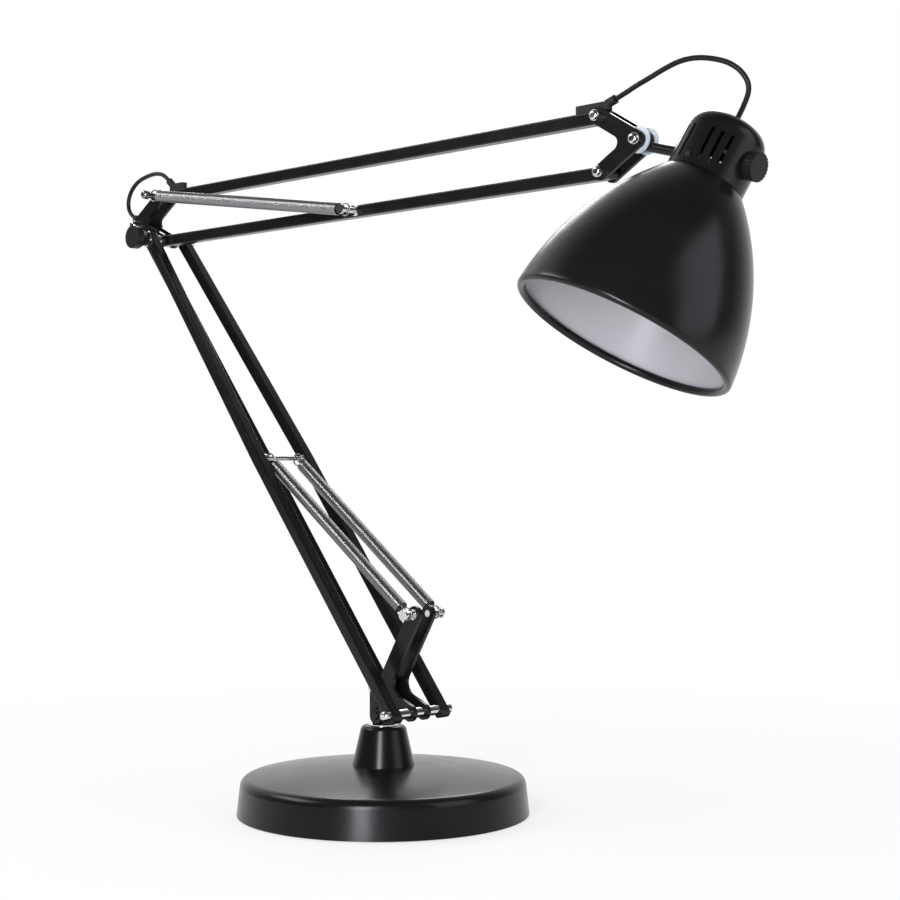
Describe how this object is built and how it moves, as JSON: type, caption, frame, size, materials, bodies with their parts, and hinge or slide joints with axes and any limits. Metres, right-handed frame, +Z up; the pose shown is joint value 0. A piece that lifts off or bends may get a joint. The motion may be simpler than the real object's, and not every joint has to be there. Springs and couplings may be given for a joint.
{
  "type": "architect lamp",
  "caption": "Spring-balanced desk lamp: parallel square arms on a swivelling round weighted base carry a tilting, twisting bell shade with a slotted cap and rotary switch.",
  "frame": {"origin": "middle of the base's underside, on the surface that the lamp stands on", "axes": "+X along the arm plane from the base towards the head, +Y along the pivot bolts away from the clamp knob, +Z up"},
  "size_m": [0.6774, 0.2323, 0.5271],
  "materials": {
    "satin_black_paint": "satin",
    "bright_nickel": "polished",
    "spring_steel": "drawn wire, polished",
    "iron_weight": "rough cast",
    "felt_pad": "matte foam",
    "bush_brass": "turned",
    "black_plastic": "moulded",
    "black_rubber": "matte",
    "cord_sheath": "semi-matte",
    "clear_friction_disc": "translucent"
  },
  "bodies": {
    "base": {"base_cover": "satin_black_paint", "base_weight": "iron_weight", "base_pad": "felt_pad", "base_nut": "bright_nickel", "ferrule": "satin_black_paint", "ferrule_bush": "bush_brass", "thrust_ring": "bright_nickel"},
    "bracket": {"swivel_post": "satin_black_paint", "foot_plate_near": "satin_black_paint", "foot_plate_far": "satin_black_paint", "plate_rivets": "satin_black_paint", "foot_pivot_bolt": "bright_nickel", "foot_pivot_spacers": "bright_nickel", "link_pivot_bolt": "bright_nickel", "foot_cap_nuts": "bright_nickel", "lower_spring_studs": "bright_nickel"},
    "lower_arm": {"lower_bar_near": "satin_black_paint", "lower_bar_far": "satin_black_paint", "lower_bar_plugs": "black_plastic", "spring_cross_rod": "bright_nickel", "lower_spring_near": "spring_steel", "lower_spring_far": "spring_steel"},
    "elbow": {"elbow_plate_near": "satin_black_paint", "elbow_plate_far": "satin_black_paint", "elbow_bolt": "bright_nickel", "elbow_spacers": "bright_nickel", "elbow_washer": "bright_nickel", "link_top_bolt": "bright_nickel", "elbow_tip_bolt": "bright_nickel", "elbow_cap_nuts": "bright_nickel"},
    "elbow_knob": {"elbow_knob": "black_plastic"},
    "rear_link": {"rear_bar": "satin_black_paint", "rear_bar_grommets": "black_rubber", "elbow_cord_link": "cord_sheath"},
    "bottom_arm": {"bottom_bar": "satin_black_paint", "bottom_bar_plugs": "black_plastic", "upper_spring_pin": "bright_nickel", "upper_spring": "spring_steel"},
    "top_arm": {"top_bar": "satin_black_paint", "top_bar_plugs": "black_plastic", "top_bar_grommets": "black_rubber", "elbow_cord_arm": "cord_sheath", "head_cord_arm": "cord_sheath"},
    "head_bracket": {"head_plate_near": "satin_black_paint", "head_plate_far": "satin_black_paint", "head_pivot_bolts": "bright_nickel", "knuckle_bolt": "bright_nickel", "head_cap_nuts": "bright_nickel", "head_cord_middle": "cord_sheath"},
    "stem": {"stem": "satin_black_paint", "friction_discs": "clear_friction_disc", "stem_nut": "bright_nickel", "head_cord_tail": "cord_sheath"},
    "head": {"shade": "satin_black_paint", "socket_cap": "satin_black_paint", "lamp_holder": "black_plastic", "cap_screws": "bright_nickel", "switch_body": "black_plastic", "cap_grommet": "black_rubber"},
    "switch_knob": {"switch_knob": "black_plastic"}
  },
  "joints": [
    {"name": "base_swivel", "type": "hinge", "parent": "base", "child": "bracket", "pos_m": [0, 0, 0.0675], "axis": [0, 0, 1], "continuous": true},
    {"name": "lower_arm_pivot", "type": "hinge", "parent": "bracket", "child": "lower_arm", "pos_m": [0.0358, 0, 0.0792], "axis": [0, 1, 0], "range_deg": [-9, 45], "deforming": ["lower_spring_near", "lower_spring_far"]},
    {"name": "elbow_level", "type": "hinge", "parent": "lower_arm", "child": "elbow", "pos_m": [-0.26939, 0, 0.45743], "axis": [0, 1, 0], "range_deg": [-45, 9]},
    {"name": "rear_link_pivot", "type": "hinge", "parent": "elbow", "child": "rear_link", "pos_m": [-0.30519, 0, 0.47373], "axis": [0, 1, 0], "range_deg": [-9, 45], "deforming": ["elbow_cord_link"]},
    {"name": "elbow_knob_turn", "type": "hinge", "parent": "elbow", "child": "elbow_knob", "pos_m": [-0.26939, 0, 0.45743], "axis": [0, 1, 0], "range_deg": [0, 360]},
    {"name": "upper_arm_pivot", "type": "hinge", "parent": "elbow", "child": "top_arm", "pos_m": [-0.27189, 0, 0.49543], "axis": [0, 1, 0], "range_deg": [-45, 35], "deforming": ["elbow_cord_arm"]},
    {"name": "bottom_bar_pivot", "type": "hinge", "parent": "elbow", "child": "bottom_arm", "pos_m": [-0.26939, 0, 0.45743], "axis": [0, 1, 0], "range_deg": [-45, 35], "deforming": ["upper_spring"]},
    {"name": "head_level", "type": "hinge", "parent": "top_arm", "child": "head_bracket", "pos_m": [0.21411, 0, 0.49543], "axis": [0, 1, 0], "range_deg": [-35, 45], "deforming": ["head_cord_arm"]},
    {"name": "head_tilt", "type": "hinge", "parent": "head_bracket", "child": "stem", "pos_m": [0.24701, 0, 0.47543], "axis": [0, 1, 0], "range_deg": [-50, 10], "deforming": ["head_cord_middle"]},
    {"name": "head_twist", "type": "hinge", "parent": "stem", "child": "head", "pos_m": [0.3051, 0, 0.45556], "axis": [0.9622, 0, -0.2723], "range_deg": [-65, 115], "deforming": ["head_cord_tail"]},
    {"name": "switch_turn", "type": "hinge", "parent": "head", "child": "switch_knob", "pos_m": [0.3051, 0, 0.45556], "axis": [0.9622, 0, -0.2723], "continuous": true}
  ],
  "couplings": [
    {"joint": "elbow_level", "follows": "lower_arm_pivot", "ratio": -1},
    {"joint": "rear_link_pivot", "follows": "lower_arm_pivot", "ratio": 1},
    {"joint": "bottom_bar_pivot", "follows": "upper_arm_pivot", "ratio": 1},
    {"joint": "head_level", "follows": "upper_arm_pivot", "ratio": -1}
  ]
}
